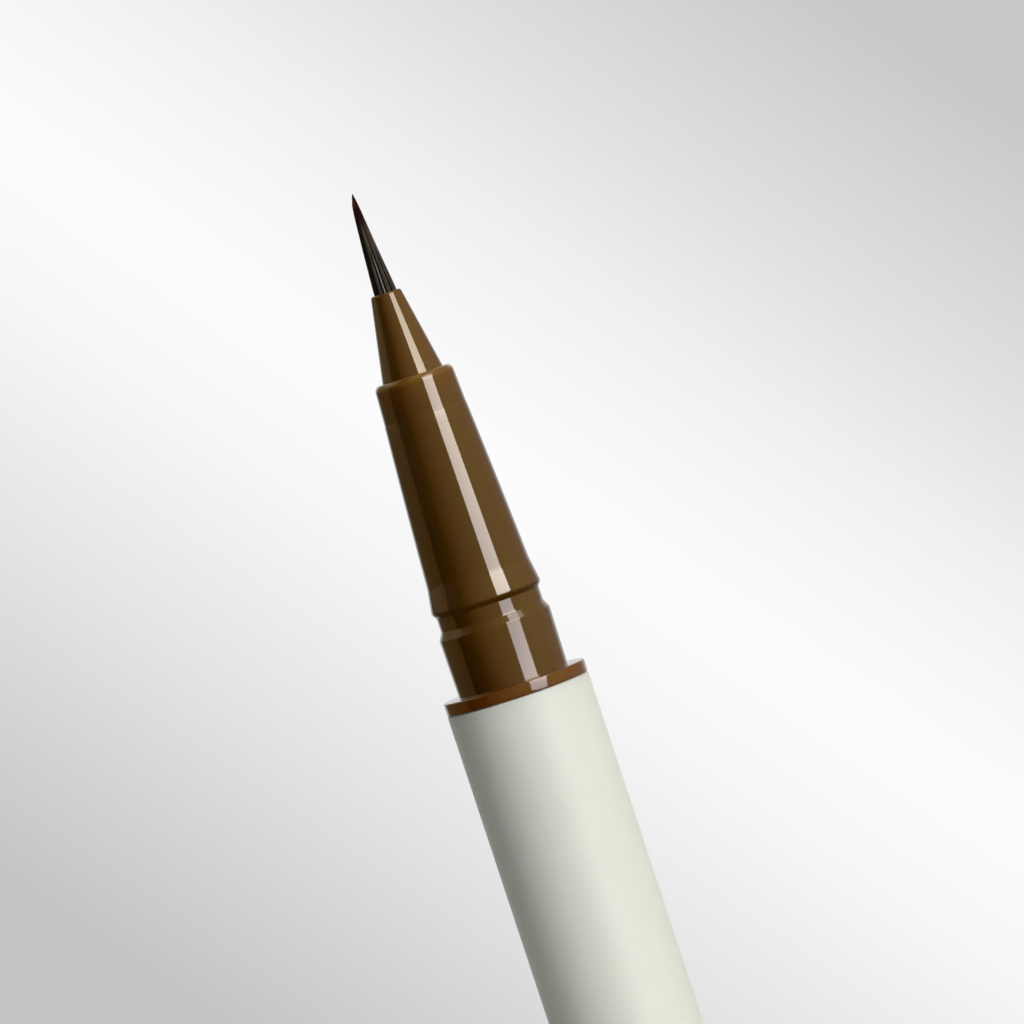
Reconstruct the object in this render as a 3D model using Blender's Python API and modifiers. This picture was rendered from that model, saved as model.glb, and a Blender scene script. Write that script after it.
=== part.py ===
"""Liquid eyebrow pen with a fine brush tip, standing on its cap.

The pen is of the free-ink kind: a tank holds the thin liquid, a finned collector evens out
its flow, and a fibre core carries it to a brush of tapered bristles.  The cap is pushed on
the tail of the pen, as it is while the pen is in use.  It holds a sprung inner cap that
seals the brush when the pen is put away.

Sizes are in metres and +Z is up.  The origin is the middle of the cap's end face, which the
pen stands on, and +Z runs along the pen to the tip of the brush.
"""

import math

import bmesh
import bpy
from mathutils import Matrix, Vector

# Clearances between pieces
seat_gap = 0.00005
push_gap = 0.00005
slide_gap = 0.00010
snap_gap = 0.00003

# Fibre core, and the tube round it that holds the brush in the nozzle
core_diameter = 0.0014
core_tail_length = 0.0030
retainer_wall = 0.00045

# Brush of tapered bristles, with shares of its length and of its root diameter
brush_root_diameter = 0.00160
brush_length = 0.00700
brush_root_depth = 0.00040
brush_flange_thickness = 0.0006
bristle_rows = 10
bristle_height_shares = (0.45, 0.87)
bristle_spread_shares = (0.67, 0.29)
bristle_thick_shares = (0.52, 0.21)
tip_spread_share = 0.10
tip_stagger_share = 0.10

# Nozzle cone
nozzle_wall = 0.00084
nozzle_lip = 0.00015
nozzle_cone_length = 0.00588
nozzle_tip_round = 0.00012
nozzle_shank_length = 0.0080
nozzle_flange_width = 0.00051
nozzle_flange_thickness = 0.0010
nozzle_bore_depth = 0.0052
nozzle_vent_width = 0.00060
nozzle_vent_depth = 0.00040
nozzle_vent_count = 2

# Front section, heights measured up from the top of its flange
section_length = 0.0218
section_flange_thickness = 0.00085
section_flange_round = 0.00010
section_skirt_wall = 0.00065
section_skirt_length = 0.0060
section_skirt_lead = 0.0003
section_plug_length = 0.0050
shoulder_wall = 0.00051
shoulder_round = 0.00030
flare_rise = 0.00027
flare_run = 0.0016
flare_round = 0.0040
taper_bulge = 0.000045

# Snap groove that the cap clicks on, the same on the front section and on the tail
groove_height = 0.00510
groove_floor_width = 0.00090
groove_wall = 0.00093
groove_wall_run = 0.00055
groove_depth = 0.00025
groove_round = 0.00030
crest_round = 0.00035
land_round = 0.00015
land_rise = 0.00004
land_draft = 0.00006

# Flats round the press-fit plugs of the front section and of the tail, which leave lands between
plug_flat_count = 6
plug_flat_width = 0.0024
plug_flat_depth = 0.00025
plug_collar_length = 0.0006

# Collector
collar_length = 0.0016
collector_tube_wall = 0.0005
fin_pitch = 0.0014
fin_thickness = 0.0006
seal_disc_thickness = 0.0010
ink_slot_width = 0.00025
air_slot_width = 0.00080
cutter_overrun = 0.0005

# Ink tank and its mixing ball
tank_side_gap = 0.00010
tank_wall = 0.0007
tank_length = 0.0500
tank_floor = 0.0008
tank_floor_round = 0.0010
ball_diameter = 0.0032

# Barrel
barrel_wall = 0.0008
barrel_length = 0.0820
barrel_edge_round = 0.00012

# Tail plug
tail_flange_thickness = 0.0010
tail_spigot_nose = 0.0015
tail_spigot_lead = 0.0004
tail_spigot_wall = 0.00073
tail_spigot_floor = 0.0010
tail_stem_wall = 0.0008

# Cap
cap_side_gap = 0.00018
cap_ledge_width = 0.0003
cap_mouth_lead = 0.0003
bead_width = 0.0008
crown_thickness = 0.0012
crown_round = 0.0005
crown_ring_length = 0.0030
crown_ring_wall = 0.0005

# Inner cap, its depth measured from the mouth of the cap
inner_cap_depth = 0.0143
inner_cap_side_gap = 0.0005
inner_cap_wall = 0.0005
inner_cap_floor = 0.0008
inner_cap_flange_setback = 0.0030
inner_cap_flange_thickness = 0.0008
inner_cap_lead = 0.0003
inner_cap_tip_room = 0.00012
inner_cap_end_room = 0.0042

# Spring behind the inner cap
spring_wire = 0.0004
spring_turns = 9
spring_end_pitch = 0.00095
spring_points_per_turn = 10
spring_bevel_resolution = 1

# Facets round the turned pieces, and the finish of their meshes
large_facets = 40
medium_facets = 32
small_facets = 20
fillet_steps = 2
fillet_limit_share = 0.62
taper_steps = 5
merge_distance = 0.000001
sharp_angle = math.radians(28)

# Diameters that follow, from the core outwards to the barrel
core_bore = core_diameter + 2 * slide_gap
nozzle_hole = brush_root_diameter + 2 * slide_gap
nozzle_bore = core_bore + 2 * (retainer_wall + push_gap)
nozzle_base_diameter = nozzle_bore + 2 * nozzle_wall
nozzle_tip_diameter = nozzle_hole + 2 * nozzle_lip
mouth_bore = nozzle_base_diameter + 2 * push_gap
section_bore = nozzle_base_diameter + 2 * (nozzle_flange_width + push_gap)
collector_tube_diameter = core_bore + 2 * collector_tube_wall
tank_bore = section_bore + 2 * (section_skirt_wall + push_gap)
tank_diameter = tank_bore + 2 * tank_wall
barrel_bore = tank_diameter + 2 * tank_side_gap
barrel_diameter = barrel_bore + 2 * barrel_wall
plug_diameter = barrel_bore - 2 * push_gap

# Diameters of the snap groove, the taper and the cap that fits over them
shoulder_diameter = mouth_bore + 2 * shoulder_wall
groove_diameter = section_bore + 2 * groove_wall
crest_diameter = groove_diameter + 2 * groove_depth
taper_end_diameter = crest_diameter - 2 * flare_rise
land_diameter = crest_diameter + 2 * land_rise
land_foot_diameter = land_diameter - 2 * land_draft
tail_spigot_bore = groove_diameter - 2 * tail_spigot_wall
bead_diameter = crest_diameter + 2 * snap_gap
cap_bore = land_diameter + 2 * cap_side_gap
cap_rear_bore = cap_bore + 2 * cap_ledge_width
inner_cap_diameter = cap_bore - 2 * inner_cap_side_gap
inner_cap_bore = inner_cap_diameter - 2 * inner_cap_wall

# Lengths that follow
crest_height = groove_height + groove_floor_width / 2 + groove_wall_run
taper_end_height = crest_height + flare_run
tail_spigot_length = crest_height + tail_spigot_nose
cap_ledge_depth = inner_cap_depth + inner_cap_flange_setback
brush_tip_height = section_length + nozzle_cone_length + brush_length
inner_cap_length = brush_tip_height + inner_cap_tip_room - inner_cap_depth + inner_cap_floor
cap_length = inner_cap_depth + inner_cap_length + inner_cap_end_room + crown_thickness

# Heights of the seats above the cap's end face
cap_mouth_z = cap_length
tail_shoulder_z = cap_mouth_z + seat_gap
barrel_foot_z = tail_shoulder_z + tail_flange_thickness + seat_gap
barrel_top_z = barrel_foot_z + barrel_length
section_foot_z = barrel_top_z + seat_gap
section_z = section_foot_z + section_flange_thickness
section_step_z = section_foot_z - section_plug_length
section_rear_z = section_step_z - section_skirt_length
shoulder_z = section_z + section_length
nozzle_seat_z = shoulder_z - nozzle_shank_length
nozzle_rear_z = nozzle_seat_z - seat_gap - nozzle_flange_thickness
nozzle_tip_z = shoulder_z + nozzle_cone_length
brush_seat_z = nozzle_tip_z - nozzle_bore_depth
brush_rear_z = brush_seat_z - seat_gap - brush_flange_thickness
collector_top_z = nozzle_rear_z - seat_gap
collector_disc_z = section_rear_z - seat_gap
collector_rear_z = collector_disc_z - seal_disc_thickness
core_rear_z = collector_rear_z - core_tail_length
tank_top_z = section_step_z - seat_gap
tank_foot_z = tank_top_z - tank_length
ledge_z = cap_mouth_z - cap_ledge_depth
inner_cap_mouth_z = cap_mouth_z - inner_cap_depth
inner_cap_end_z = inner_cap_mouth_z - inner_cap_length
inner_cap_flange_z = ledge_z - seat_gap - inner_cap_flange_thickness
crown_ring_z = crown_thickness + crown_ring_length
ball_rest_z = tank_foot_z + tank_floor + seat_gap + ball_diameter / 2


def clear_scene():
    for old in list(bpy.data.objects):
        bpy.data.objects.remove(old, do_unlink=True)


def new_collection(name):
    collection = bpy.data.collections.new(name)
    bpy.context.scene.collection.children.link(collection)
    return collection


def new_axis(name, height, parent=None):
    """An empty on the centre line, which a moving body hangs from."""
    axis = bpy.data.objects.new(name, None)
    axis.empty_display_size = barrel_diameter
    pen_parts.objects.link(axis)
    axis.parent = parent
    axis.location.z = height - height_of(parent)
    return axis


def height_of(obj):
    """Height of an origin. Everything stands on one line, so the heights add up."""
    height = 0
    while obj:
        height += obj.location.z
        obj = obj.parent
    return height


def finish(name, colour, roughness, metallic=0.0):
    material = bpy.data.materials.new(name)
    material.use_nodes = True
    shader = material.node_tree.nodes["Principled BSDF"]
    shader.inputs["Base Color"].default_value = (*colour, 1.0)
    shader.inputs["Roughness"].default_value = roughness
    shader.inputs["Metallic"].default_value = metallic
    material.diffuse_color = (*colour, 1.0)
    return material


def place(obj, origin_z, axis, material):
    pen_parts.objects.link(obj)
    obj.parent = axis
    obj.location.z = origin_z - height_of(axis)
    obj.data.materials.append(material)
    return obj


def filleted(corners):
    """Round off the corners (radius, height, fillet) of an outline with short arcs."""
    outline = []
    for index, (radius, height, fillet) in enumerate(corners):
        corner = Vector((radius, height))
        if fillet == 0:
            outline.append(corner)
            continue
        before = Vector(corners[index - 1][:2]) - corner
        after = Vector(corners[(index + 1) % len(corners)][:2]) - corner
        half_angle = before.angle(after) / 2
        longest_reach = fillet_limit_share * min(before.length, after.length)
        reach = min(fillet / math.tan(half_angle), longest_reach)
        before.normalize()
        after.normalize()
        centre = corner + (before + after).normalized() * reach / math.cos(half_angle)
        start = corner + before * reach - centre
        end = corner + after * reach - centre
        sweep = math.pi - 2 * half_angle
        for step in range(fillet_steps + 1):
            start_share = math.sin(sweep * (1 - step / fillet_steps)) / math.sin(sweep)
            end_share = math.sin(sweep * step / fillet_steps) / math.sin(sweep)
            outline.append(centre + start * start_share + end * end_share)
    return outline


def turned(name, corners, origin_z, axis, facets, material):
    """Spin an outline round the centre line.

    The corners are (radius, height, fillet), with heights above the cap's end face. They go
    up the bore and down the outer side. The outline of a tube closes on itself, and that of
    a piece with a floor starts and ends on the centre line.
    """
    outline = filleted(corners)
    points = [(point.x, 0, point.y - origin_z) for point in outline]
    edges = [(index, index + 1) for index in range(len(points) - 1)]
    if outline[0].x > 0:
        edges.append((len(points) - 1, 0))
    mesh = bpy.data.meshes.new(name)
    mesh.from_pydata(points, edges, [])
    obj = place(bpy.data.objects.new(name, mesh), origin_z, axis, material)
    spin = obj.modifiers.new("turn", "SCREW")
    spin.steps = facets
    spin.render_steps = facets
    spin.use_merge_vertices = True
    spin.merge_threshold = merge_distance
    keep_result(obj)
    return obj


def keep_result(obj):
    """Put the outcome of the modifiers in the mesh, and shade it smooth between sharp edges."""
    evaluated = obj.evaluated_get(bpy.context.evaluated_depsgraph_get())
    mesh = bpy.data.meshes.new_from_object(evaluated)
    mesh.name = obj.name
    obj.modifiers.clear()
    obj.data = mesh
    mesh.shade_smooth()
    mesh.set_sharp_from_angle(angle=sharp_angle)


def cut_flats(carrier, foot_z, top_z):
    """Cut flats round a press-fit plug, so that it grips the barrel on the lands between them."""
    inner = plug_diameter / 2 - plug_flat_depth
    outer = plug_diameter / 2 + cutter_overrun
    for index in range(plug_flat_count):
        turn = math.tau * index / plug_flat_count
        cut_slot(carrier, f"{carrier.name}_flat_{index + 1}", plug_flat_width, inner, outer,
                 foot_z, top_z, turn)


def cut_slot(carrier, name, width, inner, outer, foot_z, top_z, turn):
    """Cut a slot along a turned piece, from an inner to an outer radius on one side."""
    box = bmesh.new()
    bmesh.ops.create_cube(box, size=1)
    size = Matrix.Diagonal((outer - inner, width, top_z - foot_z, 1))
    middle_z = (foot_z + top_z) / 2 - height_of(carrier)
    middle = Matrix.Translation(((inner + outer) / 2, 0, middle_z))
    bmesh.ops.transform(box, matrix=middle @ size, verts=box.verts)
    mesh = bpy.data.meshes.new(name)
    box.to_mesh(mesh)
    box.free()
    cutter = bpy.data.objects.new(name, mesh)
    cutters.objects.link(cutter)
    cutter.parent = carrier
    cutter.rotation_euler.z = turn
    cutter.hide_render = True
    cutter.display_type = "WIRE"
    slot = carrier.modifiers.new(name, "BOOLEAN")
    slot.operation = "DIFFERENCE"
    slot.solver = "EXACT"
    slot.object = cutter


def snap_groove(shoulder_z, side):
    """Corners of the snap groove, from its crest to its foot at the shoulder.

    The side is 1 where the groove stands above the shoulder and -1 where it hangs below.
    """
    half_floor = groove_floor_width / 2
    upper_floor = groove_height + half_floor
    lower_floor = groove_height - half_floor
    steps = (
        (crest_diameter, crest_height, crest_round),
        (groove_diameter, upper_floor, 0),
        (groove_diameter, lower_floor, groove_round),
        (land_diameter, lower_floor - groove_wall_run, land_round),
        (land_foot_diameter, 0, 0),
    )
    return [(width / 2, shoulder_z + side * height, fillet) for width, height, fillet in steps]


def grip_taper():
    """Corners of the slightly bulging taper that the fingers rest on, from the top down."""
    top = Vector((shoulder_diameter / 2, shoulder_z))
    foot = Vector((taper_end_diameter / 2, section_z + taper_end_height))
    corners = [(*top, shoulder_round)]
    for step in range(1, taper_steps):
        share = step / taper_steps
        radius, height = top.lerp(foot, share)
        corners.append((radius + taper_bulge * 4 * share * (1 - share), height, 0))
    corners.append((*foot, flare_round))
    return corners


def make_front_section():
    plug = plug_diameter / 2
    skirt = tank_bore / 2 - push_gap
    bore = section_bore / 2
    mouth = mouth_bore / 2
    corners = grip_taper()
    corners += snap_groove(section_z, 1)
    corners += [
        (barrel_diameter / 2, section_z, section_flange_round),
        (barrel_diameter / 2, section_foot_z, section_flange_round),
        (plug, section_foot_z, 0),
        (plug, section_step_z, section_skirt_lead),
        (skirt, section_step_z, 0),
        (skirt, section_rear_z, section_skirt_lead),
        (bore, section_rear_z, 0),
        (bore, nozzle_seat_z, 0),
        (mouth, nozzle_seat_z, 0),
        (mouth, shoulder_z, 0),
    ]
    section = turned("front_section", corners, section_z, pen_axis, large_facets, brown_gloss)
    cut_flats(section, section_step_z - cutter_overrun, section_foot_z - plug_collar_length)
    return section


def make_nozzle_cone():
    """The cone, with notches in its flange that let air past to the collector."""
    base = nozzle_base_diameter / 2
    flange = section_bore / 2 - push_gap
    bore = nozzle_bore / 2
    hole = nozzle_hole / 2
    corners = [
        (nozzle_tip_diameter / 2, nozzle_tip_z, nozzle_tip_round),
        (base, shoulder_z, 0),
        (base, nozzle_seat_z - seat_gap, 0),
        (flange, nozzle_seat_z - seat_gap, 0),
        (flange, nozzle_rear_z, 0),
        (bore, nozzle_rear_z, 0),
        (bore, brush_seat_z, 0),
        (hole, brush_seat_z, 0),
        (hole, nozzle_tip_z, 0),
    ]
    nozzle = turned("nozzle_cone", corners, shoulder_z, pen_axis, medium_facets, brown_gloss)
    for index in range(nozzle_vent_count):
        turn = math.tau * (index + 0.5) / nozzle_vent_count
        cut_slot(nozzle, f"nozzle_vent_{index + 1}", nozzle_vent_width, flange - nozzle_vent_depth,
                 flange + cutter_overrun, nozzle_rear_z - cutter_overrun, nozzle_seat_z, turn)
    return nozzle


def bristle_lattice(brush, height):
    """Fill a round bundle's end with small triangles, and return every second one.

    The points lie on rings, six more on each than on the last. The triangles returned point
    the same way and meet only at their corners, so each can grow into a bristle.
    """
    ways = ((1, 0), (0, 1), (-1, 1), (-1, 0), (0, -1), (1, -1))
    points = {(0, 0): brush.verts.new((0, 0, height))}
    for ring in range(1, bristle_rows + 1):
        radius = brush_root_diameter / 2 * ring / bristle_rows
        for side in range(6):
            here = ways[side]
            onward = ways[(side + 1) % 6]
            for step in range(ring):
                column = here[0] * (ring - step) + onward[0] * step
                row = here[1] * (ring - step) + onward[1] * step
                angle = (side + step / ring) * math.tau / 6
                place_on_ring = (radius * math.cos(angle), radius * math.sin(angle), height)
                points[column, row] = brush.verts.new(place_on_ring)
    roots = []
    for column, row in points:
        beside = points.get((column + 1, row))
        above = points.get((column, row + 1))
        across = points.get((column + 1, row + 1))
        if beside and above:
            roots.append(brush.faces.new((points[column, row], beside, above)))
        if beside and above and across:
            brush.faces.new((beside, across, above))
    return roots


def grow_bristles(brush, roots, foot_z, tip_z):
    """Draw each root triangle up through two waists to a point of its own."""
    centres = [root.calc_center_median() for root in roots]
    reaches = [[corner.co - centre for corner in root.verts]
               for root, centre in zip(roots, centres)]
    levels = zip(bristle_height_shares, bristle_spread_shares, bristle_thick_shares)
    for height_share, spread_share, thick_share in levels:
        roots = bmesh.ops.extrude_discrete_faces(brush, faces=roots)["faces"]
        height = foot_z + (tip_z - foot_z) * height_share
        for root, centre, corners in zip(roots, centres, reaches):
            for corner, reach in zip(root.verts, corners):
                corner.co = centre * spread_share + reach * thick_share
                corner.co.z = height
    golden_share = (math.sqrt(5) - 1) / 2
    tips = bmesh.ops.poke(brush, faces=roots)["verts"]
    last_height_share = bristle_height_shares[-1]
    last_spread_share = bristle_spread_shares[-1]
    for index, (tip, centre) in enumerate(zip(tips, centres)):
        height_share = 1 - tip_stagger_share * (index * golden_share % 1)
        way_up_share = (height_share - last_height_share) / (1 - last_height_share)
        spread_share = last_spread_share + (tip_spread_share - last_spread_share) * way_up_share
        tip.co = centre * spread_share
        tip.co.z = foot_z + (tip_z - foot_z) * height_share


def make_brush():
    """The bristles, fused at the root into a stem whose flange the nozzle holds."""
    origin_z = nozzle_tip_z
    bundle_z = nozzle_tip_z - brush_root_depth
    brush = bmesh.new()
    roots = bristle_lattice(brush, bundle_z - origin_z)
    root_radius = brush_root_diameter / 2
    flange_radius = nozzle_bore / 2 - slide_gap
    stem = ((root_radius, brush_seat_z - seat_gap),
            (flange_radius, brush_seat_z - seat_gap),
            (flange_radius, brush_rear_z))
    rim = [edge for edge in brush.edges if edge.is_boundary]
    for radius, height in stem:
        grown = bmesh.ops.extrude_edge_only(brush, edges=rim)["geom"]
        rim = [item for item in grown if isinstance(item, bmesh.types.BMEdge)]
        for corner in {corner for edge in rim for corner in edge.verts}:
            around = Vector((corner.co.x, corner.co.y, 0)).normalized() * radius
            corner.co = (around.x, around.y, height - origin_z)
    bmesh.ops.edgeloop_fill(brush, edges=rim)
    grow_bristles(brush, roots, bundle_z - origin_z, brush_length)
    bmesh.ops.recalc_face_normals(brush, faces=brush.faces)
    mesh = bpy.data.meshes.new("brush_bristles")
    brush.to_mesh(mesh)
    brush.free()
    mesh.shade_smooth()
    mesh.set_sharp_from_angle(angle=sharp_angle)
    return place(bpy.data.objects.new("brush_bristles", mesh), origin_z, pen_axis, dark_bristle)


def make_brush_retainer():
    outer = nozzle_bore / 2 - push_gap
    inner = core_bore / 2
    top_z = brush_rear_z - seat_gap
    corners = [
        (outer, top_z, 0),
        (outer, nozzle_rear_z, 0),
        (inner, nozzle_rear_z, 0),
        (inner, top_z, 0),
    ]
    return turned("brush_retainer", corners, nozzle_rear_z, pen_axis, small_facets, white_plastic)


def make_relay_core():
    radius = core_diameter / 2
    top_z = brush_rear_z - seat_gap
    corners = [
        (0, top_z, 0),
        (radius, top_z, 0),
        (radius, core_rear_z, 0),
        (0, core_rear_z, 0),
    ]
    return turned("relay_core", corners, core_rear_z, pen_axis, small_facets, white_fibre)


def make_collector():
    """The ink regulator: fins on a tube, with a fine ink slot and a wider air slot."""
    outer = section_bore / 2 - slide_gap
    tube = collector_tube_diameter / 2
    bore = core_bore / 2
    disc = tank_bore / 2 - slide_gap
    comb_top_z = collector_top_z - collar_length
    comb_foot_z = collector_disc_z + collar_length
    corners = [(outer, collector_top_z, 0), (outer, comb_top_z, 0)]
    fin_top_z = comb_top_z - (fin_pitch - fin_thickness)
    while fin_top_z - fin_pitch > comb_foot_z:
        fin_foot_z = fin_top_z - fin_thickness
        corners += [(tube, fin_top_z + fin_pitch - fin_thickness, 0), (tube, fin_top_z, 0)]
        corners += [(outer, fin_top_z, 0), (outer, fin_foot_z, 0)]
        fin_top_z -= fin_pitch
    corners += [
        (tube, fin_foot_z, 0),
        (tube, comb_foot_z, 0),
        (outer, comb_foot_z, 0),
        (outer, collector_disc_z, 0),
        (disc, collector_disc_z, 0),
        (disc, collector_rear_z, 0),
        (bore, collector_rear_z, 0),
        (bore, collector_top_z, 0),
    ]
    collector = turned("collector", corners, section_z, pen_axis, small_facets, white_plastic)
    reach = outer + cutter_overrun
    comb_ends = (comb_foot_z, comb_top_z)
    cut_slot(collector, "ink_slot", ink_slot_width, 0, reach, *comb_ends, turn=0)
    cut_slot(collector, "air_slot", air_slot_width, tube + slide_gap, reach, *comb_ends, turn=math.pi)
    return collector


def make_ink_tank():
    outer = tank_diameter / 2
    bore = tank_bore / 2
    floor_z = tank_foot_z + tank_floor
    corners = [
        (0, floor_z, 0),
        (bore, floor_z, tank_floor_round),
        (bore, tank_top_z, 0),
        (outer, tank_top_z, 0),
        (outer, tank_foot_z, tank_floor_round),
        (0, tank_foot_z, 0),
    ]
    return turned("ink_tank", corners, tank_foot_z, pen_axis, medium_facets, clear_plastic)


def make_mixing_ball():
    ball = bmesh.new()
    bmesh.ops.create_uvsphere(ball, u_segments=small_facets, v_segments=small_facets // 2,
                              radius=ball_diameter / 2)
    mesh = bpy.data.meshes.new("mixing_ball")
    ball.to_mesh(mesh)
    ball.free()
    mesh.shade_smooth()
    return place(bpy.data.objects.new("mixing_ball", mesh), ball_rest_z, ball_axis, bright_steel)


def make_barrel():
    outer = barrel_diameter / 2
    bore = barrel_bore / 2
    corners = [
        (outer, barrel_top_z, barrel_edge_round),
        (outer, barrel_foot_z, barrel_edge_round),
        (bore, barrel_foot_z, 0),
        (bore, barrel_top_z, 0),
    ]
    return turned("barrel", corners, barrel_foot_z, pen_axis, large_facets, cream_matte)


def make_tail_plug():
    """The plug at the tail: a stem that holds the tank up, a flange and a snap spigot."""
    stem = plug_diameter / 2
    stem_bore = stem - tail_stem_wall
    stem_top_z = tank_foot_z - seat_gap
    spigot_end_z = tail_shoulder_z - tail_spigot_length
    spigot_floor_z = spigot_end_z + tail_spigot_floor
    flange_top_z = barrel_foot_z - seat_gap
    corners = [
        (0, spigot_floor_z, 0),
        (tail_spigot_bore / 2, spigot_floor_z, 0),
        (tail_spigot_bore / 2, tail_shoulder_z, 0),
        (stem_bore, barrel_foot_z, 0),
        (stem_bore, stem_top_z, 0),
        (stem, stem_top_z, section_skirt_lead),
        (stem, flange_top_z, 0),
        (barrel_diameter / 2, flange_top_z, barrel_edge_round),
        (barrel_diameter / 2, tail_shoulder_z, barrel_edge_round),
    ]
    corners += reversed(snap_groove(tail_shoulder_z, -1))
    corners += [
        (groove_diameter / 2, spigot_end_z, tail_spigot_lead),
        (0, spigot_end_z, 0),
    ]
    plug = turned("tail_plug", corners, tail_shoulder_z, pen_axis, large_facets, cream_matte)
    cut_flats(plug, flange_top_z + plug_collar_length, stem_top_z + cutter_overrun)
    return plug


def make_cap_sleeve():
    outer = barrel_diameter / 2
    bore = cap_bore / 2
    rear_bore = cap_rear_bore / 2
    bead = bead_diameter / 2
    bead_z = cap_mouth_z - groove_height
    foot_z = crown_thickness + seat_gap
    corners = [
        (outer, cap_mouth_z, barrel_edge_round),
        (outer, foot_z, 0),
        (rear_bore, foot_z, 0),
        (rear_bore, ledge_z, 0),
        (bore, ledge_z, 0),
        (bore, bead_z - bead_width / 2, 0),
        (bead, bead_z, 0),
        (bore, bead_z + bead_width / 2, 0),
        (bore, cap_mouth_z - cap_mouth_lead, 0),
        (bore + cap_mouth_lead, cap_mouth_z, 0),
    ]
    return turned("cap_sleeve", corners, cap_mouth_z, cap_axis, large_facets, cream_matte)


def make_cap_crown():
    """The cap's end piece: a disc, and a ring that plugs the sleeve and backs the spring."""
    ring = cap_rear_bore / 2 - push_gap
    ring_bore = ring - crown_ring_wall
    corners = [
        (0, crown_thickness, 0),
        (ring_bore, crown_thickness, 0),
        (ring_bore, crown_ring_z, 0),
        (ring, crown_ring_z, 0),
        (ring, crown_thickness, 0),
        (barrel_diameter / 2, crown_thickness, 0),
        (barrel_diameter / 2, 0, crown_round),
        (0, 0, 0),
    ]
    return turned("cap_crown", corners, 0, cap_axis, large_facets, cream_matte)


def make_inner_cap():
    outer = inner_cap_diameter / 2
    bore = inner_cap_bore / 2
    flange = cap_rear_bore / 2 - slide_gap
    floor_z = inner_cap_end_z + inner_cap_floor
    corners = [
        (0, floor_z, 0),
        (bore, floor_z, inner_cap_lead),
        (bore, inner_cap_mouth_z - inner_cap_lead, 0),
        (bore + inner_cap_lead, inner_cap_mouth_z, 0),
        (outer, inner_cap_mouth_z, 0),
        (outer, ledge_z - seat_gap, 0),
        (flange, ledge_z - seat_gap, 0),
        (flange, inner_cap_flange_z, 0),
        (outer, inner_cap_flange_z, 0),
        (outer, inner_cap_end_z, inner_cap_lead),
        (0, inner_cap_end_z, 0),
    ]
    return turned("inner_cap", corners, ledge_z, inner_cap_axis, medium_facets, white_plastic)


def spring_path(mean_radius, length):
    """Points of a coil whose first and last turns are wound closer than the rest.

    The points lie a little outside the mean radius, and the chords between them inside it.
    """
    radius = 2 * mean_radius / (1 + math.cos(math.pi / spring_points_per_turn))
    open_turns = spring_turns - 2
    open_pitch = (length - spring_wire - 2 * spring_end_pitch) / open_turns
    points = []
    for index in range(spring_turns * spring_points_per_turn + 1):
        turns = index / spring_points_per_turn
        closed_turns = min(turns, 1) + max(turns - 1 - open_turns, 0)
        height = closed_turns * spring_end_pitch + (turns - closed_turns) * open_pitch
        angle = turns * math.tau
        points.append(Vector((radius * math.cos(angle), radius * math.sin(angle), height)))
    return points


def least_gap(points, wire):
    """The smallest clear distance between two turns of a coiled wire."""
    nearest = math.inf
    for index, point in enumerate(points):
        for other in points[index + spring_points_per_turn // 2:]:
            nearest = min(nearest, (point - other).length)
    return nearest - wire


def make_inner_cap_spring():
    foot_z = crown_ring_z + seat_gap
    head_z = inner_cap_flange_z - seat_gap
    mean_radius = (inner_cap_diameter + cap_rear_bore) / 4
    path = spring_path(mean_radius, head_z - foot_z)
    print("least gap between the spring's turns, in mm:", round(least_gap(path, spring_wire) * 1000, 3))
    coil = bpy.data.curves.new("inner_cap_spring", "CURVE")
    coil.dimensions = "3D"
    coil.bevel_depth = spring_wire / 2
    coil.bevel_resolution = spring_bevel_resolution
    coil.use_fill_caps = True
    wire = coil.splines.new("POLY")
    wire.points.add(len(path) - 1)
    for spot, point in zip(wire.points, path):
        spot.co = (point.x, point.y, point.z + spring_wire / 2, 1)
    spring = bpy.data.objects.new("inner_cap_spring", coil)
    return place(spring, foot_z, cap_axis, bright_steel)


clear_scene()
pen_parts = new_collection("eyebrow_pen")
cutters = new_collection("cutters")

cream_matte = finish("cream_matte_plastic", (0.74, 0.74, 0.66), 0.42)
brown_gloss = finish("brown_gloss_plastic", (0.090, 0.036, 0.008), 0.08)
dark_bristle = finish("dark_bristle", (0.016, 0.011, 0.010), 0.45)
white_plastic = finish("white_inner_plastic", (0.78, 0.78, 0.76), 0.35)
white_fibre = finish("white_fibre", (0.70, 0.68, 0.62), 0.80)
clear_plastic = finish("milky_tank_plastic", (0.62, 0.62, 0.60), 0.25)
bright_steel = finish("bright_steel", (0.62, 0.62, 0.60), 0.22, metallic=1.0)

cap_axis = new_axis("cap_axis", 0)
pen_axis = new_axis("pen_axis", tail_shoulder_z, cap_axis)
ball_axis = new_axis("ball_axis", ball_rest_z, pen_axis)
inner_cap_axis = new_axis("inner_cap_axis", ledge_z, cap_axis)

make_cap_crown()
make_cap_sleeve()
make_inner_cap()
make_inner_cap_spring()
make_tail_plug()
make_barrel()
make_ink_tank()
make_mixing_ball()
make_relay_core()
make_collector()
make_front_section()
make_nozzle_cone()
make_brush_retainer()
make_brush()
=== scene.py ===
"""Looks of a liquid eyebrow pen with a fine brush tip, standing on its posted cap.

Every piece is placed by the solids of the frame, in metres, with +Z up and the origin in
the middle of the cap's end face.  The sections follow the pen from the cap to the brush.
"""

import math
import random

import bmesh
import bpy
from mathutils import Matrix, Vector


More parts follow.
